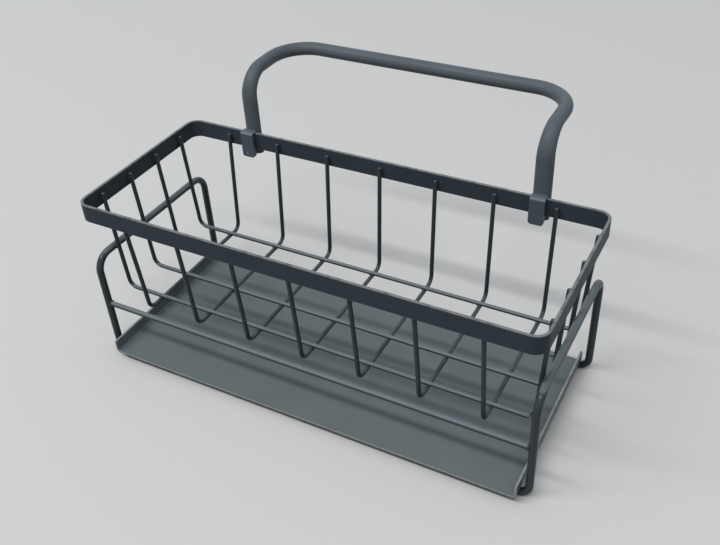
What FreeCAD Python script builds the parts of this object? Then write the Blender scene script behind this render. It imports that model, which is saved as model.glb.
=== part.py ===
import FreeCAD, Part
import Sketcher
import math
import os

# Kitchen sink caddy: a wire basket in a flat rim, on two bent leg frames, with a loose drip tray
# below it and a towel bar hooked over the rear of the rim.
# X runs along the caddy, Y from front to rear and Z up. The origin lies on the table, under the
# centre of the rim. All lengths are in millimetres.

V = FreeCAD.Vector

CROSS_WIRE_COUNT = 7
LONG_WIRE_COUNT = 4
QUARTER_TURN = 90
MATCH_TOLERANCE = 0.0001

SIZES = {
    # Rim band
    "rim_length": 250,
    "rim_width": 101,
    "rim_height": 10,
    "strip_thickness": 1.5,
    "rim_corner_radius": 7,
    "strip_edge_round": 0.3,
    "stand_height": 101,
    # Basket wires: margins from the rim's outside to the outermost wire's axis, the rest spaced evenly
    "wire_diameter": 2.3,
    "cross_wire_margin": 27.5,
    "long_wire_margin": 17.2,
    "tip_depth": 3,
    "tip_round": 0.7,
    "basket_depth": 66,
    "side_wall_inset": 5,
    "end_wall_inset": 3.7,
    "wire_bend_radius": 5,
    "weld_gap": 0.05,
    # Leg frames, base rods and front rail
    "rod_diameter": 4,
    "leg_inset": 2.7,
    "bar_depth": 37,
    "leg_bend_radius": 9,
    "foot_bend_radius": 6,
    "foot_length": 20,
    "rail_diameter": 3,
    "rail_depth": 67,
    # Drip tray
    "tray_end_inset": 5.4,
    "tray_front_overhang": 4.5,
    "tray_rear_inset": 2.5,
    "tray_wall_height": 8,
    "tray_thickness": 1.2,
    "tray_bend_radius": 1.2,
    "tray_corner_round": 1.2,
    "tray_edge_round": 0.25,
    "tray_clearance": 0.3,
    # Towel bar and its clips
    "tube_diameter": 7.5,
    "tube_end_width": 9.4,
    "tube_end_depth": 6.4,
    "tube_wall": 1,
    "hanger_margin": 39,
    "hanger_shift": 1.8,
    "hanger_rise": 33,
    "hanger_reach": 49,
    "hanger_bend_radius": 14,
    "hanger_corner_radius": 21,
    "tube_drop": 14.5,
    "clip_width": 8,
    "clip_bridge_thickness": 0.7,
    "clip_leg_thickness": 2.2,
    "clip_leg_gap": 0.9,
    "clip_drop": 14.5,
    "clip_bend_radius": 1.2,
    "clip_inner_radius": 0.3,
    "clip_corner_round": 1.6,
    "clip_clearance": 0.3,
    "clip_saddle_share": 0.95,
}

FORMULAS = {
    # Rim band
    "rim_half_length": "rim_length / 2",
    "rim_half_width": "rim_width / 2",
    "rim_inner_half_length": "rim_half_length - strip_thickness",
    "rim_inner_half_width": "rim_half_width - strip_thickness",
    "rim_inner_radius": "rim_corner_radius - strip_thickness",
    "rim_low_z": "stand_height - rim_height",
    # Basket walls: the wires' axes at the tips and, leaning in, at the floor
    "tip_z": "stand_height - tip_depth",
    "wall_off": "strip_thickness + wire_diameter / 2 + weld_gap",
    "cross_tip_y": "rim_half_width - wall_off",
    "cross_floor_y": "cross_tip_y - side_wall_inset",
    "cross_floor_z": "stand_height - basket_depth",
    "long_tip_x": "rim_half_length - wall_off",
    "long_floor_x": "long_tip_x - end_wall_inset",
    "long_floor_z": "cross_floor_z + wire_diameter + weld_gap",
    "cross_wire_spread": "rim_length - 2 * cross_wire_margin",
    "long_wire_spread": "rim_width - 2 * long_wire_margin",
    # Leg frames lie against the outside of the leaning end walls
    "bar_z": "stand_height - bar_depth",
    "end_lean": "end_wall_inset / (tip_z - long_floor_z)",
    "end_wall_x_at_bar": "long_tip_x - end_lean * (tip_z - bar_z)",
    "bar_off": "(wire_diameter / 2 + rod_diameter / 2 + weld_gap) * sqrt(1 + end_lean ^ 2)",
    "leg_x": "end_wall_x_at_bar + bar_off",
    "leg_y": "rim_half_width - leg_inset",
    "rail_z": "stand_height - rail_depth",
    "foot_z": "rod_diameter / 2",
    "foot_end_x": "leg_x - foot_length",
    # Straight rods
    "rod_radius": "rod_diameter / 2",
    "rail_radius": "rail_diameter / 2",
    "base_rod_half": "foot_end_x - weld_gap",
    "rail_half": "leg_x - rod_radius - weld_gap",
    # Drip tray
    "tray_z": "rod_diameter + tray_clearance",
    "tray_top_z": "tray_z + tray_wall_height",
    "tray_floor_z": "tray_z + tray_thickness",
    "tray_out_x": "rim_half_length - tray_end_inset",
    "tray_in_x": "tray_out_x - tray_thickness",
    "tray_outer_bend": "tray_bend_radius + tray_thickness",
    "tray_rear_y": "rim_half_width - tray_rear_inset",
    "tray_depth": "rim_half_width + tray_front_overhang + tray_rear_y",
    # Towel bar: the tube's flattened ends stand behind the strip
    "tube_left_x": "hanger_shift + hanger_margin - rim_half_length",
    "tube_right_x": "hanger_shift - hanger_margin + rim_half_length",
    "tube_y": "rim_half_width + clip_clearance + tube_end_depth / 2",
    "tube_bore": "tube_diameter - 2 * tube_wall",
    "tube_bore_width": "tube_end_width - 2 * tube_wall",
    "tube_bore_depth": "tube_end_depth - 2 * tube_wall",
    "hanger_z": "stand_height + hanger_rise",
    "tube_low_z": "stand_height - tube_drop",
    "tube_bend_z": "hanger_z - hanger_bend_radius",
    "tube_leg_length": "tube_bend_z - tube_low_z",
    "tube_bend_y": "tube_y + hanger_bend_radius",
    "tube_bar_y": "rim_half_width + hanger_reach",
    # Clips reach over the strip from the tube
    "clip_inner_y": "rim_inner_half_width - clip_leg_gap",
    "clip_front_y": "clip_inner_y - clip_leg_thickness",
    "clip_rear_y": "tube_y - clip_saddle_share * tube_end_depth / 2",
    "clip_top_z": "stand_height + clip_bridge_thickness",
    "clip_low_z": "stand_height - clip_drop",
    "saddle_width": "tube_end_width + 2 * weld_gap",
    "saddle_depth": "tube_end_depth + 2 * weld_gap",
    "saddle_cut": "2 * clip_bridge_thickness",
}

doc = FreeCAD.newDocument("SinkCaddy")
sheet = doc.addObject("Spreadsheet::Sheet", "Sizes")
cells = {alias: str(value) for alias, value in SIZES.items()}
cells.update({alias: f"={formula}" for alias, formula in FORMULAS.items()})
for row, (alias, content) in enumerate(cells.items(), start=1):
    sheet.set(f"A{row}", alias)
    sheet.set(f"B{row}", content)
    sheet.setAlias(f"B{row}", alias)
doc.recompute()


def bound(size):
    """The expression that ties a property to a size in the sheet, which may have a minus in front."""
    return f"-Sizes.{size[1:]}" if size.startswith("-") else f"Sizes.{size}"


def number(size):
    """The value of a size in the sheet, which may have a minus in front."""
    return -float(sheet.get(size[1:])) if size.startswith("-") else float(sheet.get(size))


def new_body(label):
    body = doc.addObject("PartDesign::Body", label)
    body.Label = label
    return body


def new_sketch(body, name, role, offset):
    """An empty sketch on one of the body's origin planes, moved along the plane's normal."""
    sketch = body.newObject("Sketcher::SketchObject", name)
    plane = next(feature for feature in body.Origin.OriginFeatures if feature.Role == role)
    sketch.AttachmentSupport = [(plane, "")]
    sketch.MapMode = "FlatFace"
    sketch.setExpression("AttachmentOffset.Base.z", offset)
    return sketch


def bind_point(sketch, geometry, position, u, v):
    """Ties one point of the sketch to two sizes."""
    for kind, size in (("DistanceX", u), ("DistanceY", v)):
        index = sketch.addConstraint(Sketcher.Constraint(kind, -1, 1, geometry, position, number(size)))
        sketch.setExpression(f"Constraints[{index}]", bound(size))


def draw_outline(sketch, corners, closed=False):
    """Straight runs between corners (u, v, bend radius or None), with a tangent arc at each bend."""
    points = [V(number(u), number(v), 0) for u, v, bend in corners]
    count = len(points)
    starts = list(points)
    ends = list(points)
    arcs = {}
    for i, (u, v, bend) in enumerate(corners):
        if bend is None:
            continue
        before = (points[i - 1] - points[i]).normalize()
        after = (points[(i + 1) % count] - points[i]).normalize()
        half_angle = before.getAngle(after) / 2
        radius = number(bend)
        reach = radius / math.tan(half_angle)
        centre = points[i] + (before + after).normalize() * (radius / math.sin(half_angle))
        middle = centre + (points[i] - centre).normalize() * radius
        starts[i] = points[i] + after * reach
        ends[i] = points[i] + before * reach
        arcs[i] = Part.Arc(ends[i], middle, starts[i])
    runs = []
    for i in range(count if closed else count - 1):
        run = Part.LineSegment(starts[i], ends[(i + 1) % count])
        runs.append(sketch.addGeometry(run, False))
    for i, (u, v, bend) in enumerate(corners):
        run_in = runs[i - 1] if closed or i > 0 else None
        run_out = runs[i] if i < len(runs) else None
        if bend is None:
            if run_in is None:
                bind_point(sketch, run_out, 1, u, v)
            else:
                bind_point(sketch, run_in, 2, u, v)
                if run_out is not None:
                    sketch.addConstraint(Sketcher.Constraint("Coincident", run_in, 2, run_out, 1))
            continue
        arc = sketch.addGeometry(arcs[i], False)
        arc_start = (sketch.getPoint(arc, 1) - ends[i]).Length
        arc_end = (sketch.getPoint(arc, 2) - ends[i]).Length
        first, last = (1, 2) if arc_start < arc_end else (2, 1)
        sketch.addConstraint(Sketcher.Constraint("Tangent", run_in, 2, arc, first))
        sketch.addConstraint(Sketcher.Constraint("Tangent", run_out, 1, arc, last))
        index = sketch.addConstraint(Sketcher.Constraint("Radius", arc, number(bend)))
        sketch.setExpression(f"Constraints[{index}]", bound(bend))
        corner = sketch.addGeometry(Part.Point(points[i]), True)
        sketch.addConstraint(Sketcher.Constraint("PointOnObject", corner, 1, run_in))
        sketch.addConstraint(Sketcher.Constraint("PointOnObject", corner, 1, run_out))
        bind_point(sketch, corner, 1, u, v)
    return sketch


def draw_arc(sketch, start, end, radius):
    """A quarter turn from an upright start to a level end."""
    first = V(number(start[0]), number(start[1]), 0)
    last = V(number(end[0]), number(end[1]), 0)
    centre = V(last.x, first.y, 0)
    middle = centre + ((first - centre) + (last - centre)).normalize() * number(radius)
    arc = sketch.addGeometry(Part.Arc(first, middle, last), False)
    near_start = (sketch.getPoint(arc, 1) - first).Length < (sketch.getPoint(arc, 2) - first).Length
    bind_point(sketch, arc, 1 if near_start else 2, *start)
    bind_point(sketch, arc, 2 if near_start else 1, *end)
    index = sketch.addConstraint(Sketcher.Constraint("Radius", arc, number(radius)))
    sketch.setExpression(f"Constraints[{index}]", bound(radius))


def draw_circle(sketch, diameter, centre=None):
    """A circle of the given diameter about the sketch's origin or about a bound centre."""
    middle = V(number(centre[0]), number(centre[1]), 0) if centre else V(0, 0, 0)
    circle = sketch.addGeometry(Part.Circle(middle, V(0, 0, 1), number(diameter) / 2), False)
    if centre:
        bind_point(sketch, circle, 3, *centre)
    else:
        sketch.addConstraint(Sketcher.Constraint("Coincident", circle, 3, -1, 1))
    index = sketch.addConstraint(Sketcher.Constraint("Diameter", circle, number(diameter)))
    sketch.setExpression(f"Constraints[{index}]", bound(diameter))


def draw_oval(sketch, width, depth, centre):
    """An ellipse about a bound centre, its width along the sketch's own first axis."""
    middle = V(number(centre[0]), number(centre[1]), 0)
    oval = sketch.addGeometry(Part.Ellipse(middle, number(width) / 2, number(depth) / 2), False)
    sketch.exposeInternalGeometry(oval)
    long_axis, short_axis = oval + 1, oval + 2
    bind_point(sketch, oval, 3, *centre)
    sketch.addConstraint(Sketcher.Constraint("Horizontal", long_axis))
    for axis, size in ((long_axis, width), (short_axis, depth)):
        index = sketch.addConstraint(Sketcher.Constraint("Distance", axis, number(size)))
        sketch.setExpression(f"Constraints[{index}]", bound(size))


def add_pipe(body, name, path, diameter, bore=None):
    """A round rod along the path, or a tube where a bore is given."""
    doc.recompute()
    section = body.newObject("Sketcher::SketchObject", f"{name}_section")
    section.AttachmentSupport = [(path, "Edge1")]
    section.MapMode = "NormalToEdge"
    section.MapPathParameter = 0
    draw_circle(section, diameter)
    if bore:
        draw_circle(section, bore)
    doc.recompute()
    return sweep(body, name, section, path)


def sweep(body, name, section, path, last_section=None):
    """Carries a section along the path, changing it evenly into the last section if there is one."""
    doc.recompute()
    pipe = body.newObject("PartDesign::AdditivePipe", name)
    pipe.Profile = section
    pipe.Spine = (path, [f"Edge{i + 1}" for i in range(len(path.Shape.Edges))])
    if last_section:
        pipe.Transformation = "Multisection"
        pipe.Sections = [(last_section, [""])]
    pipe.Refine = False
    doc.recompute()
    return pipe


def add_pad(body, name, sketch, length, midplane=False):
    doc.recompute()
    pad = body.newObject("PartDesign::Pad", name)
    pad.Profile = sketch
    pad.Midplane = midplane
    pad.setExpression("Length", bound(length))
    doc.recompute()
    return pad


def add_fillet(body, name, base, radius, wanted):
    """Rounds the edges of the base feature for which wanted(edge) is true."""
    edges = [f"Edge{i}" for i, edge in enumerate(base.Shape.Edges, start=1) if wanted(edge)]
    fillet = body.newObject("PartDesign::Fillet", name)
    fillet.Base = (base, edges)
    fillet.setExpression("Radius", bound(radius))
    doc.recompute()
    return fillet


def near(value, size):
    """True where a measured value agrees with a size."""
    return math.isclose(value, number(size), abs_tol=MATCH_TOLERANCE)


def make_rim_band():
    """The flat strip, bent to a rounded rectangle."""
    body = new_body("rim_band")
    outline = new_sketch(body, "rim_outline", "XY_Plane", bound("rim_low_z"))
    outer = ("rim_half_length", "rim_half_width", "rim_corner_radius")
    inner = ("rim_inner_half_length", "rim_inner_half_width", "rim_inner_radius")
    for x, y, radius in (outer, inner):
        corners = [(f"-{x}", f"-{y}", radius), (x, f"-{y}", radius), (x, y, radius), (f"-{x}", y, radius)]
        draw_outline(outline, corners, closed=True)
    pad = add_pad(body, "rim_strip", outline, "rim_height")

    def is_long_edge(edge):
        return edge.BoundBox.ZLength < MATCH_TOLERANCE

    add_fillet(body, "rim_edges", pad, "strip_edge_round", is_long_edge)
    return body


def round_wire_tips(body, pipe):
    """Takes the burr off the two cut ends of a basket wire."""
    def is_tip(edge):
        return edge.BoundBox.ZMin > number("tip_z") - number("wire_diameter") and edge.Closed

    add_fillet(body, f"{body.Label}_tips", pipe, "tip_round", is_tip)


def make_basket_wire(label, role, offset, tip, floor, floor_z):
    """A wire from one wall of the basket under its floor to the opposite wall."""
    body = new_body(label)
    path = new_sketch(body, f"{label}_path", role, offset)
    draw_outline(path, [
        (f"-{tip}", "tip_z", None),
        (f"-{floor}", floor_z, "wire_bend_radius"),
        (floor, floor_z, "wire_bend_radius"),
        (tip, "tip_z", None),
    ])
    pipe = add_pipe(body, f"{label}_rod", path, "wire_diameter")
    round_wire_tips(body, pipe)
    return body


def make_cross_wires():
    """The U wires across the caddy, one beside the other along X."""
    wires = []
    for i in range(CROSS_WIRE_COUNT):
        share = i / (CROSS_WIRE_COUNT - 1) - 1 / 2
        label = f"cross_wire_{i + 1}"
        offset = f"Sizes.cross_wire_spread * ({share})"
        wire = make_basket_wire(label, "YZ_Plane", offset, "cross_tip_y", "cross_floor_y", "cross_floor_z")
        wires.append(wire)
    return wires


def make_long_wires():
    """The U wires along the caddy, from the front one to the rear one, lying on the cross wires."""
    wires = []
    for i in range(LONG_WIRE_COUNT):
        share = 1 / 2 - i / (LONG_WIRE_COUNT - 1)
        label = f"long_wire_{i + 1}"
        offset = f"Sizes.long_wire_spread * ({share})"
        wire = make_basket_wire(label, "XZ_Plane", offset, "long_tip_x", "long_floor_x", "long_floor_z")
        wires.append(wire)
    return wires


def make_leg_frame(label, sign):
    """An inverted U of rod at one end, with both feet turned in under the caddy."""
    body = new_body(label)
    leg_x = f"{sign}leg_x"
    hoop = new_sketch(body, f"{label}_hoop_path", "YZ_Plane", bound(leg_x))
    draw_outline(hoop, [
        ("-leg_y", "rail_z", None),
        ("-leg_y", "bar_z", "leg_bend_radius"),
        ("leg_y", "bar_z", "leg_bend_radius"),
        ("leg_y", "rail_z", None),
    ])
    add_pipe(body, f"{label}_hoop", hoop, "rod_diameter")
    for place, offset in (("front", "leg_y"), ("rear", "-leg_y")):
        foot = new_sketch(body, f"{label}_{place}_foot_path", "XZ_Plane", bound(offset))
        draw_outline(foot, [
            (leg_x, "rail_z", None),
            (leg_x, "foot_z", "foot_bend_radius"),
            (f"{sign}foot_end_x", "foot_z", None),
        ])
        add_pipe(body, f"{label}_{place}_foot", foot, "rod_diameter")
    return body


def make_rod(label, radius, half_length, y, z):
    """A straight rod along X, centred on the caddy."""
    rod = doc.addObject("Part::Cylinder", label)
    rod.Label = label
    rod.Placement = FreeCAD.Placement(V(0, 0, 0), FreeCAD.Rotation(V(0, 1, 0), QUARTER_TURN))
    rod.setExpression("Radius", bound(radius))
    rod.setExpression("Height", f"2 * {bound(half_length)}")
    rod.setExpression("Placement.Base.x", bound(f"-{half_length}"))
    rod.setExpression("Placement.Base.y", bound(y))
    rod.setExpression("Placement.Base.z", bound(z))
    return rod


def make_straight_rods():
    """Two base rods between the feet and the rail between the front legs."""
    return [
        make_rod("front_base_rod", "rod_radius", "base_rod_half", "-leg_y", "foot_z"),
        make_rod("rear_base_rod", "rod_radius", "base_rod_half", "leg_y", "foot_z"),
        make_rod("front_rail", "rail_radius", "rail_half", "-leg_y", "rail_z"),
    ]


def make_drip_tray():
    """Sheet with its two ends turned up, open in front and behind."""
    body = new_body("drip_tray")
    section = new_sketch(body, "tray_section", "XZ_Plane", bound("-tray_rear_y"))
    draw_outline(section, [
        ("-tray_out_x", "tray_top_z", None),
        ("-tray_out_x", "tray_z", "tray_outer_bend"),
        ("tray_out_x", "tray_z", "tray_outer_bend"),
        ("tray_out_x", "tray_top_z", None),
        ("tray_in_x", "tray_top_z", None),
        ("tray_in_x", "tray_floor_z", "tray_bend_radius"),
        ("-tray_in_x", "tray_floor_z", "tray_bend_radius"),
        ("-tray_in_x", "tray_top_z", None),
    ], closed=True)
    pad = add_pad(body, "tray_sheet", section, "tray_depth")

    def is_wall_corner(edge):
        across = near(edge.Length, "tray_thickness")
        at_end = edge.BoundBox.YLength < edge.Length / 2
        return across and at_end and near(edge.BoundBox.ZMin, "tray_top_z")

    corners = add_fillet(body, "tray_corners", pad, "tray_corner_round", is_wall_corner)

    def is_cut_edge(edge):
        flat = edge.BoundBox.XLength < number("tray_thickness") / 2
        return flat and edge.BoundBox.ZMax > number("tray_floor_z") + number("tray_bend_radius")

    add_fillet(body, "tray_edges", corners, "tray_edge_round", is_cut_edge)
    return body


def make_towel_bar():
    """The tube: flattened legs up from the rear rim, bent back, and a round bar across in a wide U."""
    body = new_body("towel_bar")
    for side in ("left", "right"):
        leg_x = f"tube_{side}_x"
        foot = new_sketch(body, f"towel_bar_{side}_foot", "XY_Plane", bound("tube_low_z"))
        draw_oval(foot, "tube_end_width", "tube_end_depth", (leg_x, "tube_y"))
        draw_oval(foot, "tube_bore_width", "tube_bore_depth", (leg_x, "tube_y"))
        add_pad(body, f"towel_bar_{side}_leg", foot, "tube_leg_length")
        path = new_sketch(body, f"towel_bar_{side}_path", "YZ_Plane", bound(leg_x))
        draw_arc(path, ("tube_y", "tube_bend_z"), ("tube_bend_y", "hanger_z"), "hanger_bend_radius")
        flat = new_sketch(body, f"towel_bar_{side}_flat_section", "XY_Plane", bound("tube_bend_z"))
        draw_oval(flat, "tube_end_width", "tube_end_depth", (leg_x, "tube_y"))
        draw_oval(flat, "tube_bore_width", "tube_bore_depth", (leg_x, "tube_y"))
        ring = new_sketch(body, f"towel_bar_{side}_ring_section", "XZ_Plane", bound("-tube_bend_y"))
        draw_circle(ring, "tube_diameter", (leg_x, "hanger_z"))
        draw_circle(ring, "tube_bore", (leg_x, "hanger_z"))
        sweep(body, f"towel_bar_{side}_bend", flat, path, ring)
    across = new_sketch(body, "towel_bar_across_path", "XY_Plane", bound("hanger_z"))
    draw_outline(across, [
        ("tube_left_x", "tube_bend_y", None),
        ("tube_left_x", "tube_bar_y", "hanger_corner_radius"),
        ("tube_right_x", "tube_bar_y", "hanger_corner_radius"),
        ("tube_right_x", "tube_bend_y", None),
    ])
    add_pipe(body, "towel_bar_across", across, "tube_diameter", "tube_bore")
    return body


def make_clip(label, tube_x):
    """A hook from the tube over the strip, thick in front and saddled to the tube, its lower corners cut round."""
    body = new_body(label)
    section = new_sketch(body, f"{label}_section", "YZ_Plane", bound(tube_x))
    draw_outline(section, [
        ("clip_front_y", "clip_low_z", None),
        ("clip_front_y", "clip_top_z", "clip_bend_radius"),
        ("clip_rear_y", "clip_top_z", None),
        ("clip_rear_y", "stand_height", None),
        ("clip_inner_y", "stand_height", "clip_inner_radius"),
        ("clip_inner_y", "clip_low_z", None),
    ], closed=True)
    pad = add_pad(body, f"{label}_hook", section, "clip_width", midplane=True)
    saddle = new_sketch(body, f"{label}_saddle_outline", "XY_Plane", bound("stand_height"))
    draw_oval(saddle, "saddle_width", "saddle_depth", (tube_x, "tube_y"))
    doc.recompute()
    pocket = body.newObject("PartDesign::Pocket", f"{label}_saddle")
    pocket.Profile = saddle
    pocket.Reversed = True
    pocket.setExpression("Length", bound("saddle_cut"))
    doc.recompute()
    if not pocket.Shape.Volume < pad.Shape.Volume:
        raise RuntimeError(f"the saddle misses {label}")

    def is_low_corner(edge):
        across = near(edge.BoundBox.YLength, "clip_leg_thickness")
        return across and near(edge.BoundBox.ZMax, "clip_low_z")

    add_fillet(body, f"{label}_corners", pocket, "clip_corner_round", is_low_corner)
    return body


def make_caddy():
    pieces = [make_rim_band()]
    pieces += make_cross_wires()
    pieces += make_long_wires()
    pieces += [make_leg_frame("left_leg_frame", "-"), make_leg_frame("right_leg_frame", "")]
    pieces += make_straight_rods()
    pieces += [make_drip_tray(), make_towel_bar()]
    pieces.append(make_clip("towel_bar_clip_left", "tube_left_x"))
    pieces.append(make_clip("towel_bar_clip_right", "tube_right_x"))
    return pieces


def check_document(pieces):
    """Stops the build if any object failed or any piece is not one sound solid."""
    failed = [obj.Name for obj in doc.Objects if "Invalid" in obj.State or "Error" in obj.State]
    if failed:
        raise RuntimeError(f"objects failed to recompute: {failed}")
    for piece in pieces:
        if piece.Shape.isNull() or not piece.Shape.isValid() or len(piece.Shape.Solids) != 1:
            raise RuntimeError(f"{piece.Label} is not one valid solid")


def write_parts(pieces):
    os.makedirs("parts", exist_ok=True)
    for piece in pieces:
        piece.Shape.exportStep(f"parts/{piece.Label}.step")
        print(f"{piece.Label}: {piece.Shape.Volume:.1f} mm3")


caddy = make_caddy()
doc.recompute()
check_document(caddy)
write_parts(caddy)
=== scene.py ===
import math
from collections import namedtuple

import bpy
from mathutils import Matrix, Vector


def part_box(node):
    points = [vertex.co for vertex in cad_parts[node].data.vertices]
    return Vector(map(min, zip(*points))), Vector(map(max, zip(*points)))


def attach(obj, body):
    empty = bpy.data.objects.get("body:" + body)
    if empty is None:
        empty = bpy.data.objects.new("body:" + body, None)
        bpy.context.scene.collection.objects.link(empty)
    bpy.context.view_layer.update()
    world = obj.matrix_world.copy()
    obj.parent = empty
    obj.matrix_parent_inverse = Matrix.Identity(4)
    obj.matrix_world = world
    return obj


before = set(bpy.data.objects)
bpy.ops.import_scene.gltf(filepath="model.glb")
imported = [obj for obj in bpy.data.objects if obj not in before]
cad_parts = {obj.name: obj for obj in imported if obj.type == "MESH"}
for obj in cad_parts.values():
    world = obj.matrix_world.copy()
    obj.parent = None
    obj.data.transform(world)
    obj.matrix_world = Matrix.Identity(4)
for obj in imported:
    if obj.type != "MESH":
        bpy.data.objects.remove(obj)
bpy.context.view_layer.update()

bl_info = {
    "name": "Kitchen sink caddy",
    "version": (1, 0, 0),
    "blender": (4, 5, 0),
    "location": "View3D > Sidebar > Caddy",
    "description": "Powder coat, weld beads and a plain stage for a wire sink caddy",
    "category": "Object",
}

CROSS_WIRES = sorted(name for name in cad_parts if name.startswith("cross_wire"))
LONG_WIRES = sorted(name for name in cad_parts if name.startswith("long_wire"))
LEG_FRAMES = ["left_leg_frame", "right_leg_frame"]
BASE_RODS = ["front_base_rod", "rear_base_rod"]
CLIPS = ["towel_bar_clip_left", "towel_bar_clip_right"]

# Stretches of a noise's values over which a pattern goes from none to full
MOTTLE_STRETCH = (0.34, 0.66)
SPECK_STRETCH = (0.52, 0.78)
WORN_STRETCH = (0.12, 0.50)

# Octaves of finer noise within each pattern
GRAIN_DETAIL = 2
PATCH_DETAIL = 3
MOTTLE_DETAIL = 4

# Sockets of a Mix node that mixes colours
MIX_FACTOR = 0
MIX_FIRST = 6
MIX_SECOND = 7
MIX_RESULT = 2

# Marks in the coat: offset from the corner or edge that a mark belongs to, reach along the axes, strength
Mark = namedtuple("Mark", "offset reach strength")
TRAY_CORNER_MARK = Mark((0, 0, 0), (0.0022, 0.0006, 0.0050), 0.3)
TUBE_CREASE_MARK = Mark((-0.0059, -0.0261, -0.0003), (0.0022, 0.0004, 0.0012), 0.3)
HOOK_CHIP_MARK = Mark((0.0033, 0, 0.0026), (0.0005, 0.0004, 0.0006), 0.9)
# The hooks' paler tops are partly wear and partly a painted highlight.
HOOK_TOP_WEAR_AND_HIGHLIGHT_MARK = Mark((0, 0.0016, 0), (0.0062, 0.0026, 0.0010), 0.22)
HOOK_EDGE_MARK = Mark((0, 0.0004, -0.0003), (0.0070, 0.0009, 0.0009), 0.42)

# Share of its reach within which a mark has its full strength
MARK_CORE = 0.5

# Facets of the beads
BALL_SEGMENTS = 20
BALL_RINGS = 12
RING_SEGMENTS = 32
SADDLE_SEGMENTS = 48
RING_SIDES = 10

# Proportions of the beads, the saddle's for a ring of radius 1
PINCH_HEIGHT_SHARE = 0.25
PINCH_WAIST_SHARE = 0.92
RING_SPREAD = 1.25
BASE_RING_SHARE = 0.5
SADDLE_THICKNESS = 0.24
SADDLE_BACK = -0.9
UNEVEN_SHARE = 0.5
UNEVEN_SEED = 7

# Camera, its sensor in millimetres and its range of sight in metres
SENSOR_WIDTH = 36.0
NEAREST_SEEN = 0.01
FARTHEST_SEEN = 100.0


def extent(node, axis):
    low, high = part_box(node)
    return getattr(high, axis) - getattr(low, axis)


def colour(name, description, default):
    return bpy.props.FloatVectorProperty(
        name=name, description=description, subtype="COLOR", size=3, min=0, max=1, default=default)


def length(name, description, default):
    return bpy.props.FloatProperty(
        name=name, description=description, unit="LENGTH", subtype="DISTANCE",
        min=0, precision=5, default=default)


def share(name, description, default):
    return bpy.props.FloatProperty(
        name=name, description=description, subtype="FACTOR", min=0, max=1, default=default)


def place(name, description, default):
    return bpy.props.FloatVectorProperty(
        name=name, description=description, unit="LENGTH", subtype="TRANSLATION",
        precision=6, default=default)


def turn(name, description, degrees):
    return bpy.props.FloatProperty(
        name=name, description=description, subtype="ANGLE", default=math.radians(degrees))


class CaddyFinish(bpy.types.PropertyGroup):
    """Colours, grain and gloss of the powder coat."""

    rim_colour: colour("Rim", "Coat on the flat rim", (0.043, 0.057, 0.070))
    wire_colour: colour("Wires", "Coat on the basket wires", (0.029, 0.039, 0.045))
    frame_colour: colour("Legs and rods", "Coat on the leg frames, base rods and rail", (0.033, 0.043, 0.050))
    tray_colour: colour("Tray", "Coat on the drip tray", (0.134, 0.164, 0.170))
    tube_colour: colour("Towel bar", "Coat on the bent tube", (0.101, 0.124, 0.139))
    clip_colour: colour("Clips", "Coat on the two hooks", (0.081, 0.107, 0.125))
    # This pale coat colour also paints the highlight along the tops of level rods and of the hooks.
    pale_coat_colour: colour("Worn coat", "Thin coat on rubbed edges and tops", (0.28, 0.335, 0.35))
    edge_colour: colour("Worn edges", "Tone of the rim's and the tray's cut edges", (0.325, 0.340, 0.332))
    bare_colour: colour("Bare steel", "Steel showing in small chips", (0.52, 0.54, 0.53))
    grain_size: length("Grain", "Size of the coat's fine grain", 0.0007)
    grain_depth: length("Grain depth", "Height of the fine grain", 0.00003)
    grain_bump: share("Grain bump", "How strongly the fine grain roughens the surface", 0.35)
    speck_share: share("Grain contrast", "How far the fine grain pales the coat", 0.04)
    mottle_size: length("Mottle", "Size of the soft uneven patches", 0.030)
    mottle_share: share("Mottle contrast", "How far the patches differ from the coat's colour", 0.05)
    strip_smooth: share("Rim roughness, smooth", "Roughness of the rim where the coat lies smooth", 0.42)
    strip_dry: share("Rim roughness, dry", "Roughness of the rim where the coat lies dry", 0.52)
    strip_specular: share("Rim reflection", "Specular level of the rim", 0.08)
    sheet_smooth: share("Sheet roughness, smooth", "Roughness of tray and hanger where it lies smooth", 0.38)
    sheet_dry: share("Sheet roughness, dry", "Roughness of tray and hanger where it lies dry", 0.48)
    sheet_specular: share("Sheet reflection", "Specular level of tray, tube and hooks", 0.18)
    rod_smooth: share("Rod roughness, smooth", "Roughness of wires and rods where the coat lies smooth", 0.25)
    rod_dry: share("Rod roughness, dry", "Roughness of wires and rods where the coat lies dry", 0.34)
    rod_specular: share("Rod reflection", "Specular level of wires and rods", 0.25)


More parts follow.
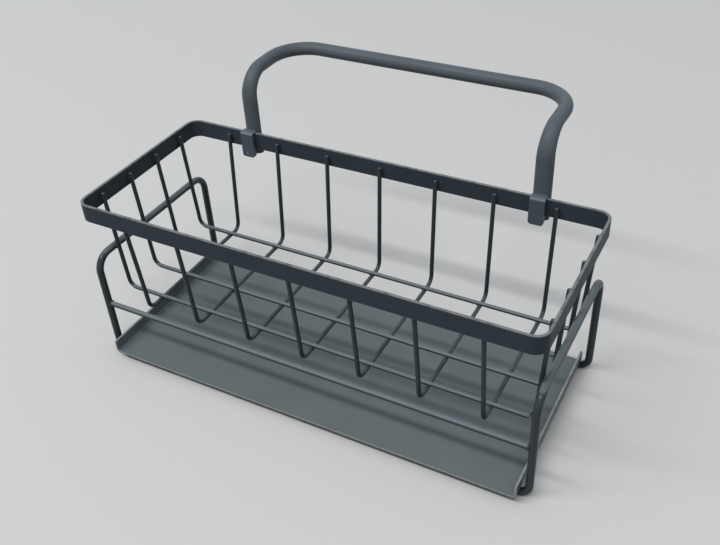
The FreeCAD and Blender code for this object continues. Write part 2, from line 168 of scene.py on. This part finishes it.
class CaddyWear(bpy.types.PropertyGroup):
    """Where the coat is worn, and where the tops of level rods are paler as wear and painted highlight: how
    far in from an edge, and how far through.
    """

    rim_top: length("Rim top", "Reach of the wear below the rim's top edge", 0.0005)
    rim_foot: length("Rim foot", "Reach of the wear above the rim's lower edge", 0.0004)
    wire_tip: length("Wire tips", "Reach of the wear below the wires' tips", 0.0004)
    leg_foot: length("Feet", "Reach of the wear above the table", 0.0006)
    tray_front: length("Tray front and rear", "Reach of the wear in from the tray's open edges", 0.0003)
    tray_top: length("Tray walls", "Reach of the wear below the tops of the tray's walls", 0.0004)
    tube_end: length("Tube ends", "Reach of the wear above the tube's lower ends", 0.0006)
    full_reach: length("Full wear", "How near an edge the wear is full", 0.0001)
    patch_size: length("Wear patches", "Size of the patches in which an edge wears", 0.004)
    edge_share: share("Worn edges", "How far the edges of rim and feet are worn", 0.6)
    tip_share: share("Worn tips", "How far the wires' tips are worn", 0.2)
    tray_share: share("Worn tray", "How far the tray's edges are worn", 0.8)
    tube_share: share("Worn tube", "How far the tube's lower ends are worn", 0.5)
    # The rubbed tops below are partly wear and partly a painted highlight along the tops of level rods.
    rub_and_highlight_share: share("Rubbed tops", "How far the long floor wires and the rail are rubbed on top", 0.46)
    cross_rub_and_highlight_share: share("Rubbed crossings", "How far the floor's cross wires are rubbed on top", 0.16)
    bar_rub_and_highlight_share: share("Rubbed bars", "How far the leg frames are rubbed on top", 0.34)
    rub_and_highlight_depth_share: share("Rub depth", "How far down a rod the rub reaches, in diameters", 0.40)


class CaddyWelds(bpy.types.PropertyGroup):
    """Sizes of the joints between wires, rods, strip and tube."""

    strip_thickness: length("Strip", "Thickness of the rim's strip", 0.0015)
    wire_diameter: length("Wire", "Diameter of the basket wires", extent(CROSS_WIRES[0], "x"))
    rod_diameter: length("Rod", "Diameter of the leg frames and base rods", extent(BASE_RODS[0], "z"))
    tip_width: length("Tip bead width", "Bead beside a wire's tip, across the wire", 0.0027)
    tip_length: length("Tip bead length", "Bead beside a wire's tip, along the wire", 0.0048)
    tip_rise: length("Tip bead rise", "Height of that bead off the strip", 0.0007)
    crossing_width: length("Crossing bead width", "Bead where two wires cross", 0.0028)
    crossing_rise: length("Crossing bead rise", "Height of that bead to each side", 0.0007)
    ring_thickness: length("Ring bead", "Thickness of the bead round a rod's end", 0.0009)
    tube_width: length("Tube width", "Width of the tube's flattened ends", 0.0094)
    tube_depth: length("Tube depth", "Depth of the tube's flattened ends", 0.0064)
    saddle_rise: length("Saddle bead", "Height of the bead between a hook and the tube", 0.0007)
    unevenness: length("Unevenness", "How far a bead's surface strays", 0.00005)


class CaddyStage(bpy.types.PropertyGroup):
    """Floor, light and camera."""

    floor_colour: colour("Floor", "Pale floor", (0.68, 0.68, 0.67))
    floor_bounce: share("Floor bounce", "How much of the floor's colour lights the caddy from below", 0.22)
    floor_size: length("Floor size", "Length of the floor's sides", 60.0)
    floor_patch_size: length("Floor patches", "Size of the floor's faint patches", 0.5)
    floor_patch_share: share("Floor patch contrast", "How far a patch darkens the floor", 0.02)
    floor_roughness: share("Floor roughness", "Roughness of the floor", 0.75)
    floor_specular: share("Floor reflection", "Specular level of the floor", 0.2)
    sky_colour: colour("Surroundings", "Light from all around", (0.93, 0.96, 1.0))
    sky_level: share("Light from the sides", "Strength of the light that comes in level", 0.12)
    sky_above: share("Light from above", "Strength of the light that comes straight down", 0.62)
    sky_shown: share("Surroundings as seen", "Strength seen behind the caddy and in its gloss", 0.80)
    key_power: bpy.props.FloatProperty(
        name="Key light", description="Power of the long soft lamp", unit="POWER", min=0, default=104.0)
    key_length: length("Key length", "Length of that lamp, along the caddy", 4.4)
    key_width: length("Key width", "Width of that lamp", 0.45)
    key_aim: length("Key aim", "Height above the table that the lamp faces", 0.06)
    key_place: place("Key place", "Where that lamp hangs", (-0.9, -1.75, 3.50))
    camera_place: place("Camera place", "Where the camera stood", (0.192219, -0.311574, 0.337672))
    camera_turn: turn("Camera turn", "Sideways from the view along Y", 30.078)
    camera_tilt: turn("Camera tilt", "Down from the level", 37.19)
    camera_roll: turn("Camera roll", "Lean to the right", 3.419)
    camera_lens: bpy.props.FloatProperty(
        name="Lens", description="Focal length on a 36 mm sensor", unit="CAMERA", default=43.9548)


def add_node(tree, kind, **settings):
    node = tree.nodes.new(kind)
    for name, value in settings.items():
        setattr(node, name, value)
    return node


def feed(tree, socket, value):
    """Links a socket to the input, or sets a plain value on it."""
    if isinstance(value, bpy.types.NodeSocket):
        tree.links.new(value, socket)
    else:
        socket.default_value = value


def calculate(tree, operation, *values):
    node = add_node(tree, "ShaderNodeMath", operation=operation)
    for socket, value in zip(node.inputs, values):
        feed(tree, socket, value)
    return node.outputs[0]


def grade(tree, value, low, high, at_low=0.0, at_high=1.0):
    """Runs evenly from at_low to at_high while the value runs from low to high."""
    node = add_node(tree, "ShaderNodeMapRange")
    ends = {"Value": value, "From Min": low, "From Max": high, "To Min": at_low, "To Max": at_high}
    for name, number in ends.items():
        feed(tree, node.inputs[name], number)
    return node.outputs["Result"]


def cloud(tree, coordinates, size, detail):
    """Soft noise with patches of the given size."""
    node = add_node(tree, "ShaderNodeTexNoise")
    feed(tree, node.inputs["Vector"], coordinates)
    node.inputs["Scale"].default_value = 1 / size
    node.inputs["Detail"].default_value = detail
    return node.outputs[0]


def blend_colours(tree, factor, first, second):
    node = add_node(tree, "ShaderNodeMix", data_type="RGBA")
    feed(tree, node.inputs[MIX_FACTOR], factor)
    for socket, value in ((node.inputs[MIX_FIRST], first), (node.inputs[MIX_SECOND], second)):
        feed(tree, socket, value if isinstance(value, bpy.types.NodeSocket) else (*value, 1.0))
    return node.outputs[MIX_RESULT]


def worn_share(tree, coordinates, bands):
    """How worn the coat is: each band is an axis and the places where wear starts and is full."""
    axes = add_node(tree, "ShaderNodeSeparateXYZ")
    feed(tree, axes.inputs[0], coordinates)
    worn = None
    for axis, start, full in bands:
        band = grade(tree, axes.outputs[axis], start, full)
        worn = band if worn is None else calculate(tree, "MAXIMUM", worn, band)
    patch_size = bpy.context.scene.caddy_wear.patch_size
    patches = grade(tree, cloud(tree, coordinates, patch_size, PATCH_DETAIL), *WORN_STRETCH)
    return calculate(tree, "MULTIPLY", worn, patches)


def mark_share(tree, coordinates, marks):
    """Marks where the coat is thin or off: each has a centre, its reach along the axes and its strength."""
    marked = None
    for centre, reach, strength in marks:
        offset = add_node(tree, "ShaderNodeVectorMath", operation="SUBTRACT")
        feed(tree, offset.inputs[0], coordinates)
        offset.inputs[1].default_value = centre
        scaled = add_node(tree, "ShaderNodeVectorMath", operation="DIVIDE")
        feed(tree, scaled.inputs[0], offset.outputs[0])
        scaled.inputs[1].default_value = reach
        distance = add_node(tree, "ShaderNodeVectorMath", operation="LENGTH")
        feed(tree, distance.inputs[0], scaled.outputs[0])
        mark = grade(tree, distance.outputs["Value"], 1.0, MARK_CORE, 0.0, strength)
        marked = mark if marked is None else calculate(tree, "MAXIMUM", marked, mark)
    return marked


def powder_coat(name, coat_colour, stock, worn_bands=(), wear=0.0, pale_coat_colour=None, chips=(), rubs_and_highlights=()):
    """Matte powder coat on strip, sheet or rod, with grain, mottling, worn edges, tops paler as rubbed wear
    and painted highlight, and chips.
    """
    finish = bpy.context.scene.caddy_finish
    material = bpy.data.materials.new(name)
    material.use_nodes = True
    tree = material.node_tree
    shader = tree.nodes["Principled BSDF"]
    shader.inputs["Specular IOR Level"].default_value = getattr(finish, f"{stock}_specular")
    coordinates = add_node(tree, "ShaderNodeTexCoord").outputs["Object"]
    grain = cloud(tree, coordinates, finish.grain_size, GRAIN_DETAIL)
    mottle = cloud(tree, coordinates, finish.mottle_size, MOTTLE_DETAIL)
    patches = grade(tree, mottle, *MOTTLE_STRETCH)
    dark = tuple(part * (1 - finish.mottle_share) for part in coat_colour)
    pale = tuple(part * (1 + finish.mottle_share) for part in coat_colour)
    body = blend_colours(tree, patches, dark, pale)
    specks = grade(tree, grain, *SPECK_STRETCH, 0.0, finish.speck_share)
    surface = blend_colours(tree, specks, body, finish.pale_coat_colour[:])
    if worn_bands:
        worn = calculate(tree, "MULTIPLY", worn_share(tree, coordinates, worn_bands), wear)
        surface = blend_colours(tree, worn, surface, pale_coat_colour or finish.pale_coat_colour[:])
    # Paler tops: partly rubbed wear, partly a painted highlight.
    if rubs_and_highlights:
        surface = blend_colours(tree, mark_share(tree, coordinates, rubs_and_highlights), surface, finish.pale_coat_colour[:])
    if chips:
        surface = blend_colours(tree, mark_share(tree, coordinates, chips), surface, finish.bare_colour[:])
    feed(tree, shader.inputs["Base Color"], surface)
    smooth, dry = getattr(finish, f"{stock}_smooth"), getattr(finish, f"{stock}_dry")
    feed(tree, shader.inputs["Roughness"], grade(tree, mottle, *MOTTLE_STRETCH, dry, smooth))
    bump = add_node(tree, "ShaderNodeBump")
    bump.inputs["Strength"].default_value = finish.grain_bump
    bump.inputs["Distance"].default_value = finish.grain_depth
    feed(tree, bump.inputs["Height"], grain)
    feed(tree, shader.inputs["Normal"], bump.outputs["Normal"])
    return material


def rubbed_and_highlit_top(top, diameter, rub_and_highlight_share):
    """The pale mark along the tops of level rods, all at one height: partly rubbed wear, partly a painted
    highlight.
    """
    depth = bpy.context.scene.caddy_wear.rub_and_highlight_depth_share * diameter
    return (0, 0, top), (1.0, 1.0, depth), rub_and_highlight_share


def marked_at(corner, mark):
    """A mark's centre, reach and strength, once its corner or edge is known."""
    return Vector(corner) + Vector(mark.offset), mark.reach, mark.strength


def worn_below(axis, edge, reach):
    """A band of wear that starts this far below an edge and is full close to it."""
    return axis, edge - reach, edge - bpy.context.scene.caddy_wear.full_reach


def worn_above(axis, edge, reach):
    """A band of wear that starts this far above an edge and is full close to it."""
    return axis, edge + reach, edge + bpy.context.scene.caddy_wear.full_reach


def coat_nodes(names, material):
    for name in names:
        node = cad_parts[name]
        node.data.materials.clear()
        node.data.materials.append(material)


def known_material(name):
    material = bpy.data.materials.get(name)
    if material is None:
        raise RuntimeError(f"{name} has to be mixed before the beads that take it")
    return material


class CADDY_OT_coat_rim(bpy.types.Operator):
    """Coats the flat rim, with its long edges rubbed pale"""

    bl_idname = "caddy.coat_rim"
    bl_label = "Coat the rim"

    def execute(self, context):
        finish, wear = context.scene.caddy_finish, context.scene.caddy_wear
        low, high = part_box("rim_band")
        bands = [worn_below("Z", high.z, wear.rim_top), worn_above("Z", low.z, wear.rim_foot)]
        coat = powder_coat(
            "rim_powder_coat", finish.rim_colour[:], "strip", bands, wear.edge_share, finish.edge_colour[:])
        coat_nodes(["rim_band"], coat)
        return {"FINISHED"}


class CADDY_OT_coat_wires(bpy.types.Operator):
    """Coats the basket wires, paler at their cut tips, and paler on top as rubbed wear and a painted
    highlight, most along the floor wires that things stand on
    """

    bl_idname = "caddy.coat_wires"
    bl_label = "Coat the wires"

    def execute(self, context):
        finish, wear = context.scene.caddy_finish, context.scene.caddy_wear
        diameter = context.scene.caddy_welds.wire_diameter
        bands = [worn_below("Z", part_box(CROSS_WIRES[0])[1].z, wear.wire_tip)]
        for wires, name, rub_and_highlight_share in ((CROSS_WIRES, "wire_powder_coat", wear.cross_rub_and_highlight_share),
                                       (LONG_WIRES, "floor_wire_powder_coat", wear.rub_and_highlight_share)):
            # Paler tops of the wires: partly rubbed wear, partly a painted highlight.
            rub_and_highlight = rubbed_and_highlit_top(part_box(wires[0])[0].z + diameter, diameter, rub_and_highlight_share)
            coat = powder_coat(name, finish.wire_colour[:], "rod", bands, wear.tip_share, rubs_and_highlights=[rub_and_highlight])
            coat_nodes(wires, coat)
        return {"FINISHED"}


class CADDY_OT_coat_legs(bpy.types.Operator):
    """Coats the leg frames, base rods and front rail, worn where they stand, and paler on top as rubbed wear
    and a painted highlight
    """

    bl_idname = "caddy.coat_legs"
    bl_label = "Coat the legs and rods"

    def execute(self, context):
        finish, wear = context.scene.caddy_finish, context.scene.caddy_wear
        diameter = context.scene.caddy_welds.rod_diameter
        bands = [worn_above("Z", 0.0, wear.leg_foot)]
        # Paler tops of the bars and the rail: partly rubbed wear, partly a painted highlight.
        rub_and_highlight = rubbed_and_highlit_top(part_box(LEG_FRAMES[0])[1].z, diameter, wear.bar_rub_and_highlight_share)
        coat = powder_coat(
            "leg_powder_coat", finish.frame_colour[:], "rod", bands, wear.edge_share, rubs_and_highlights=[rub_and_highlight])
        coat_nodes(LEG_FRAMES + BASE_RODS, coat)
        rub_and_highlight = rubbed_and_highlit_top(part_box("front_rail")[1].z, extent("front_rail", "z"), wear.rub_and_highlight_share)
        coat_nodes(["front_rail"], powder_coat("rail_powder_coat", finish.frame_colour[:], "rod", rubs_and_highlights=[rub_and_highlight]))
        return {"FINISHED"}


class CADDY_OT_coat_tray(bpy.types.Operator):
    """Coats the drip tray, with its cut edges rubbed pale"""

    bl_idname = "caddy.coat_tray"
    bl_label = "Coat the tray"

    def execute(self, context):
        finish, wear = context.scene.caddy_finish, context.scene.caddy_wear
        low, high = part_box("drip_tray")
        bands = [worn_above("Y", low.y, wear.tray_front), worn_below("Y", high.y, wear.tray_front),
                 worn_below("Z", high.z, wear.tray_top)]
        middle = (low.z + high.z) / 2
        corners = [marked_at((x, low.y, middle), TRAY_CORNER_MARK) for x in (low.x, high.x)]
        coat = powder_coat("tray_powder_coat", finish.tray_colour[:], "sheet", bands, wear.tray_share,
                           finish.edge_colour[:], chips=corners)
        coat_nodes(["drip_tray"], coat)
        return {"FINISHED"}


class CADDY_OT_coat_towel_bar(bpy.types.Operator):
    """Coats the bent tube, creased at its right bend, and its hooks, paler on top as wear and a painted
    highlight, and chipped at the left
    """

    bl_idname = "caddy.coat_towel_bar"
    bl_label = "Coat the towel bar"

    def execute(self, context):
        finish, wear = context.scene.caddy_finish, context.scene.caddy_wear
        low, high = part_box("towel_bar")
        bands = [worn_above("Z", low.z, wear.tube_end)]
        crease = marked_at(high, TUBE_CREASE_MARK)
        coat = powder_coat(
            "tube_powder_coat", finish.tube_colour[:], "sheet", bands, wear.tube_share, chips=[crease])
        coat_nodes(["towel_bar"], coat)
        chip = marked_at(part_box("towel_bar_clip_left")[0], HOOK_CHIP_MARK)
        # The hooks' paler tops: partly wear, partly a painted highlight; their front edges are worn.
        rubs_and_highlights = []
        for clip in CLIPS:
            low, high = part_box(clip)
            front = ((low.x + high.x) / 2, low.y, high.z)
            rubs_and_highlights += [marked_at(front, HOOK_TOP_WEAR_AND_HIGHLIGHT_MARK), marked_at(front, HOOK_EDGE_MARK)]
        coat = powder_coat("clip_powder_coat", finish.clip_colour[:], "sheet", chips=[chip], rubs_and_highlights=rubs_and_highlights)
        coat_nodes(CLIPS, coat)
        return {"FINISHED"}


def start_piece(name):
    """Names the primitive just added and opens its mesh with everything selected."""
    piece = bpy.context.object
    piece.name = name
    piece.data.name = name
    bpy.ops.object.mode_set(mode="EDIT")
    bpy.ops.mesh.select_all(action="SELECT")
    return piece


def finish_bead(piece, material):
    """Makes the bead in edit mode a little uneven, leaves edit mode and coats it."""
    unevenness = bpy.context.scene.caddy_welds.unevenness
    bpy.ops.mesh.select_all(action="SELECT")
    bpy.ops.transform.vertex_random(
        offset=unevenness, uniform=UNEVEN_SHARE, normal=UNEVEN_SHARE, seed=UNEVEN_SEED)
    bpy.ops.mesh.normals_make_consistent(inside=False)
    bpy.ops.object.mode_set(mode="OBJECT")
    bpy.ops.object.shade_smooth()
    piece.data.materials.append(material)
    return piece


def dome_bead(name, width, run, rise, material):
    """A low oval bead, wider at its foot, lying on the level through the origin."""
    bpy.ops.object.select_all(action="DESELECT")
    bpy.ops.mesh.primitive_uv_sphere_add(
        segments=BALL_SEGMENTS, ring_count=BALL_RINGS, radius=1.0, location=(0, 0, 0))
    piece = start_piece(name)
    bpy.ops.transform.resize(value=(width / 2, run / 2, rise))
    bpy.ops.mesh.bisect(plane_co=(0, 0, 0), plane_no=(0, 0, 1), use_fill=True, clear_inner=True)
    return finish_bead(piece, material)


def pinch_bead(name, width, rise, material):
    """A small cushion of weld between two crossing wires, drawn in round its middle."""
    bpy.ops.object.select_all(action="DESELECT")
    bpy.ops.mesh.primitive_uv_sphere_add(
        segments=BALL_SEGMENTS, ring_count=BALL_RINGS, radius=1.0, location=(0, 0, 0))
    piece = start_piece(name)
    bpy.ops.transform.resize(value=(width / 2, width / 2, rise))
    bpy.ops.mesh.select_all(action="DESELECT")
    bpy.ops.object.mode_set(mode="OBJECT")
    for vertex in piece.data.vertices:
        vertex.select = abs(vertex.co.z) < rise * PINCH_HEIGHT_SHARE
    bpy.ops.object.mode_set(mode="EDIT")
    bpy.ops.transform.resize(value=(PINCH_WAIST_SHARE, PINCH_WAIST_SHARE, 1.0))
    return finish_bead(piece, material)


def ring_bead(name, radius, thickness, material):
    """A bead round the end of a rod that runs along X, spread along the rod."""
    bpy.ops.object.select_all(action="DESELECT")
    bpy.ops.mesh.primitive_torus_add(
        major_segments=RING_SEGMENTS, minor_segments=RING_SIDES, major_radius=radius,
        minor_radius=thickness / 2, location=(0, 0, 0), rotation=(0, math.pi / 2, 0))
    bpy.ops.object.transform_apply(location=True, rotation=True, scale=True)
    piece = start_piece(name)
    bpy.ops.transform.resize(value=(RING_SPREAD, 1.0, 1.0))
    return finish_bead(piece, material)


def saddle_bead(name, width, depth, rise, material):
    """A bead along the front of an upright oval tube, over the part that a saddled sheet meets."""
    bpy.ops.object.select_all(action="DESELECT")
    bpy.ops.mesh.primitive_torus_add(
        major_segments=SADDLE_SEGMENTS, minor_segments=RING_SIDES, major_radius=1.0,
        minor_radius=SADDLE_THICKNESS / 2, location=(0, 0, 0))
    piece = start_piece(name)
    bpy.ops.mesh.bisect(plane_co=(0, SADDLE_BACK, 0), plane_no=(0, 1, 0), use_fill=True, clear_outer=True)
    bpy.ops.mesh.select_all(action="SELECT")
    sides = (width / 2, depth / 2, rise / SADDLE_THICKNESS)
    bpy.ops.transform.resize(value=sides, center_override=(0, 0, 0))
    return finish_bead(piece, material)


def lay_copies(master, places):
    """Copies a bead to each place, a matrix, and joins the copies into one piece with the bead's name."""
    copies = []
    for spot in places:
        bpy.ops.object.select_all(action="DESELECT")
        master.select_set(True)
        bpy.context.view_layer.objects.active = master
        bpy.ops.object.duplicate(linked=False)
        copy = bpy.context.object
        copy.matrix_world = spot
        bpy.ops.object.transform_apply(location=True, rotation=True, scale=True)
        copies.append(copy)
    name = master.name
    bpy.data.objects.remove(master)
    bpy.ops.object.select_all(action="DESELECT")
    for copy in copies:
        copy.select_set(True)
    bpy.context.view_layer.objects.active = copies[0]
    bpy.ops.object.join()
    joined = bpy.context.object
    joined.name = name
    joined.data.name = name
    return joined


def facing(location, outward, along):
    """Places a bead made on the level: its top faces outward and its run lies along the given way."""
    up = Vector(outward).normalized()
    run = Vector(along)
    run = (run - up * run.dot(up)).normalized()
    side = run.cross(up)
    rotation = Matrix((side, run, up)).transposed().to_4x4()
    return Matrix.Translation(location) @ rotation


class CADDY_OT_weld_wire_tips(bpy.types.Operator):
    """Lays a bead between each wire's tip and the inside of the rim"""

    bl_idname = "caddy.weld_wire_tips"
    bl_label = "Weld the wire tips"

    def execute(self, context):
        welds = context.scene.caddy_welds
        rim_low, rim_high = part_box("rim_band")
        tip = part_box(CROSS_WIRES[0])[1].z
        height = (tip + rim_low.z) / 2
        places = []
        for name in CROSS_WIRES:
            low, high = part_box(name)
            across = (low.x + high.x) / 2
            places.append(facing((across, rim_low.y + welds.strip_thickness, height), (0, 1, 0), (0, 0, 1)))
            places.append(facing((across, rim_high.y - welds.strip_thickness, height), (0, -1, 0), (0, 0, 1)))
        for name in LONG_WIRES:
            low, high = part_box(name)
            across = (low.y + high.y) / 2
            places.append(facing((rim_low.x + welds.strip_thickness, across, height), (1, 0, 0), (0, 0, 1)))
            places.append(facing((rim_high.x - welds.strip_thickness, across, height), (-1, 0, 0), (0, 0, 1)))
        coat = known_material("wire_powder_coat")
        bead = dome_bead("wire_tip_welds", welds.tip_width, welds.tip_length, welds.tip_rise, coat)
        beads = lay_copies(bead, places)
        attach(beads, "caddy")
        return {"FINISHED"}


class CADDY_OT_weld_crossings(bpy.types.Operator):
    """Fills the pinch between the floor's crossing wires"""

    bl_idname = "caddy.weld_crossings"
    bl_label = "Weld the crossings"

    def execute(self, context):
        welds = context.scene.caddy_welds
        places = []
        for cross in CROSS_WIRES:
            low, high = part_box(cross)
            for run in LONG_WIRES:
                run_low, run_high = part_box(run)
                level = (low.z + welds.wire_diameter + run_low.z) / 2
                places.append(Matrix.Translation(((low.x + high.x) / 2, (run_low.y + run_high.y) / 2, level)))
        coat = known_material("wire_powder_coat")
        bead = pinch_bead("crossing_welds", welds.crossing_width, welds.crossing_rise, coat)
        beads = lay_copies(bead, places)
        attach(beads, "caddy")
        return {"FINISHED"}


class CADDY_OT_weld_legs(bpy.types.Operator):
    """Joins the leg frames to the end walls, the rail to the legs and the base rods to the feet"""

    bl_idname = "caddy.weld_legs"
    bl_label = "Weld the legs and rods"

    def execute(self, context):
        welds = context.scene.caddy_welds
        coat = known_material("leg_powder_coat")
        places = []
        for name, side in zip(LEG_FRAMES, (-1, 1)):
            low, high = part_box(name)
            inner = low.x + welds.rod_diameter if side < 0 else high.x - welds.rod_diameter
            bar = high.z - welds.rod_diameter / 2
            for wire in LONG_WIRES:
                wire_low, wire_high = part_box(wire)
                middle = (inner, (wire_low.y + wire_high.y) / 2, bar)
                places.append(Matrix.Translation(middle) @ Matrix.Rotation(math.pi / 2, 4, "Y"))
        pad = pinch_bead("leg_bar_welds", welds.crossing_width, welds.crossing_rise, coat)
        pads = lay_copies(pad, places)
        rail_low, rail_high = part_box("front_rail")
        middle = (rail_low + rail_high) / 2
        ends = [Matrix.Translation((x, middle.y, middle.z)) for x in (rail_low.x, rail_high.x)]
        rail_ring = ring_bead("rail_end_welds", extent("front_rail", "z") / 2, welds.ring_thickness, coat)
        rail_rings = lay_copies(rail_ring, ends)
        ends = []
        for name in BASE_RODS:
            low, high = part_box(name)
            middle = (low + high) / 2
            ends += [Matrix.Translation((x, middle.y, middle.z)) for x in (low.x, high.x)]
        thickness = welds.ring_thickness * BASE_RING_SHARE
        rod_ring = ring_bead("base_rod_welds", (welds.rod_diameter - thickness) / 2, thickness, coat)
        rod_rings = lay_copies(rod_ring, ends)
        for beads in (pads, rail_rings, rod_rings):
            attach(beads, "caddy")
        return {"FINISHED"}


class CADDY_OT_weld_clips(bpy.types.Operator):
    """Runs a bead along each hook where it saddles the tube"""

    bl_idname = "caddy.weld_clips"
    bl_label = "Weld the hooks"

    def execute(self, context):
        welds = context.scene.caddy_welds
        tube_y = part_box("towel_bar")[0].y + welds.tube_depth / 2
        places = []
        for name in CLIPS:
            low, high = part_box(name)
            places.append(Matrix.Translation(((low.x + high.x) / 2, tube_y, high.z)))
        coat = known_material("clip_powder_coat")
        bead = saddle_bead("clip_welds", welds.tube_width, welds.tube_depth, welds.saddle_rise, coat)
        beads = lay_copies(bead, places)
        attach(beads, "towel_hanger")
        return {"FINISHED"}


def seen_rays(tree):
    """1 where the camera, gloss or glass looks, and 0 for the light that falls on the caddy."""
    path = add_node(tree, "ShaderNodeLightPath")
    seen = calculate(tree, "MAXIMUM", path.outputs["Is Camera Ray"], path.outputs["Is Glossy Ray"])
    return calculate(tree, "MAXIMUM", seen, path.outputs["Is Transmission Ray"])


def pale_floor(stage):
    bpy.ops.object.select_all(action="DESELECT")
    bpy.ops.mesh.primitive_plane_add(size=stage.floor_size, location=(0, 0, 0))
    floor = bpy.context.object
    floor.name = "pale_floor"
    material = bpy.data.materials.new("pale_floor")
    material.use_nodes = True
    tree = material.node_tree
    shader = tree.nodes["Principled BSDF"]
    shader.inputs["Roughness"].default_value = stage.floor_roughness
    shader.inputs["Specular IOR Level"].default_value = stage.floor_specular
    coordinates = add_node(tree, "ShaderNodeTexCoord").outputs["Object"]
    patches = cloud(tree, coordinates, stage.floor_patch_size, PATCH_DETAIL)
    dark = tuple(part * (1 - stage.floor_patch_share) for part in stage.floor_colour)
    shown = blend_colours(tree, patches, dark, stage.floor_colour[:])
    bounced = tuple(part * stage.floor_bounce for part in stage.floor_colour)
    feed(tree, shader.inputs["Base Color"], blend_colours(tree, seen_rays(tree), bounced, shown))
    floor.data.materials.append(material)


def pale_surroundings(stage):
    world = bpy.data.worlds.new("pale_surroundings")
    world.use_nodes = True
    tree = world.node_tree
    background = tree.nodes["Background"]
    background.inputs["Color"].default_value = (*stage.sky_colour, 1.0)
    axes = add_node(tree, "ShaderNodeSeparateXYZ")
    feed(tree, axes.inputs[0], add_node(tree, "ShaderNodeTexCoord").outputs["Generated"])
    light = grade(tree, axes.outputs["Z"], 0.0, 1.0, stage.sky_level, stage.sky_above)
    feed(tree, background.inputs["Strength"], grade(tree, seen_rays(tree), 0.0, 1.0, light, stage.sky_shown))
    bpy.context.scene.world = world


def overhead_lamp(stage):
    aim = Vector((stage.key_place[0], 0, stage.key_aim)) - Vector(stage.key_place)
    rotation = aim.to_track_quat("-Z", "Y").to_euler()
    bpy.ops.object.light_add(type="AREA", location=stage.key_place, rotation=rotation)
    lamp = bpy.context.object
    lamp.name = "overhead_lamp"
    lamp.data.shape = "RECTANGLE"
    lamp.data.size = stage.key_length
    lamp.data.size_y = stage.key_width
    lamp.data.energy = stage.key_power


def photo_camera(stage):
    """A camera that looks from the photograph's place, with its lean."""
    heading, tilt, roll = -stage.camera_turn, stage.camera_tilt, -stage.camera_roll
    ahead = math.cos(tilt)
    forward = Vector((math.sin(heading) * ahead, math.cos(heading) * ahead, -math.sin(tilt)))
    level = forward.cross(Vector((0, 0, 1))).normalized()
    upright = level.cross(forward)
    right = level * math.cos(roll) + upright * math.sin(roll)
    up = upright * math.cos(roll) - level * math.sin(roll)
    rotation = Matrix((right, up, -forward)).transposed().to_euler()
    bpy.ops.object.camera_add(location=stage.camera_place, rotation=rotation)
    camera = bpy.context.object
    camera.name = "photo_camera"
    camera.data.sensor_fit = "HORIZONTAL"
    camera.data.sensor_width = SENSOR_WIDTH
    camera.data.lens = stage.camera_lens
    camera.data.clip_start = NEAREST_SEEN
    camera.data.clip_end = FARTHEST_SEEN
    bpy.context.scene.camera = camera


class CADDY_OT_set_stage(bpy.types.Operator):
    """Lays a pale floor, hangs the light and sets the camera"""

    bl_idname = "caddy.set_stage"
    bl_label = "Set the stage"

    def execute(self, context):
        stage = context.scene.caddy_stage
        context.scene.view_settings.view_transform = "Standard"
        pale_floor(stage)
        pale_surroundings(stage)
        overhead_lamp(stage)
        photo_camera(stage)
        return {"FINISHED"}


class CADDY_PT_sidebar(bpy.types.Panel):
    """Lists the steps that dress the caddy"""

    bl_idname = "CADDY_PT_sidebar"
    bl_label = "Sink caddy"
    bl_space_type = "VIEW_3D"
    bl_region_type = "UI"
    bl_category = "Caddy"

    def draw(self, context):
        for operator in OPERATORS:
            self.layout.operator(operator.bl_idname)
        for group in GROUPS:
            settings = getattr(context.scene, group)
            box = self.layout.box()
            for name in type(settings).__annotations__:
                box.prop(settings, name)


OPERATORS = [
    CADDY_OT_coat_rim,
    CADDY_OT_coat_wires,
    CADDY_OT_coat_legs,
    CADDY_OT_coat_tray,
    CADDY_OT_coat_towel_bar,
    CADDY_OT_weld_wire_tips,
    CADDY_OT_weld_crossings,
    CADDY_OT_weld_legs,
    CADDY_OT_weld_clips,
    CADDY_OT_set_stage,
]
GROUPS = {
    "caddy_finish": CaddyFinish,
    "caddy_wear": CaddyWear,
    "caddy_welds": CaddyWelds,
    "caddy_stage": CaddyStage,
}


def register():
    for name, group in GROUPS.items():
        bpy.utils.register_class(group)
        setattr(bpy.types.Scene, name, bpy.props.PointerProperty(type=group))
    for operator in OPERATORS:
        bpy.utils.register_class(operator)
    bpy.utils.register_class(CADDY_PT_sidebar)


def unregister():
    bpy.utils.unregister_class(CADDY_PT_sidebar)
    for operator in reversed(OPERATORS):
        bpy.utils.unregister_class(operator)
    for name, group in reversed(GROUPS.items()):
        delattr(bpy.types.Scene, name)
        bpy.utils.unregister_class(group)


def main():
    register()
    bpy.ops.caddy.coat_rim()
    bpy.ops.caddy.coat_wires()
    bpy.ops.caddy.coat_legs()
    bpy.ops.caddy.coat_tray()
    bpy.ops.caddy.coat_towel_bar()
    bpy.ops.caddy.weld_wire_tips()
    bpy.ops.caddy.weld_crossings()
    bpy.ops.caddy.weld_legs()
    bpy.ops.caddy.weld_clips()
    bpy.ops.caddy.set_stage()


if __name__ == "__main__":
    main()
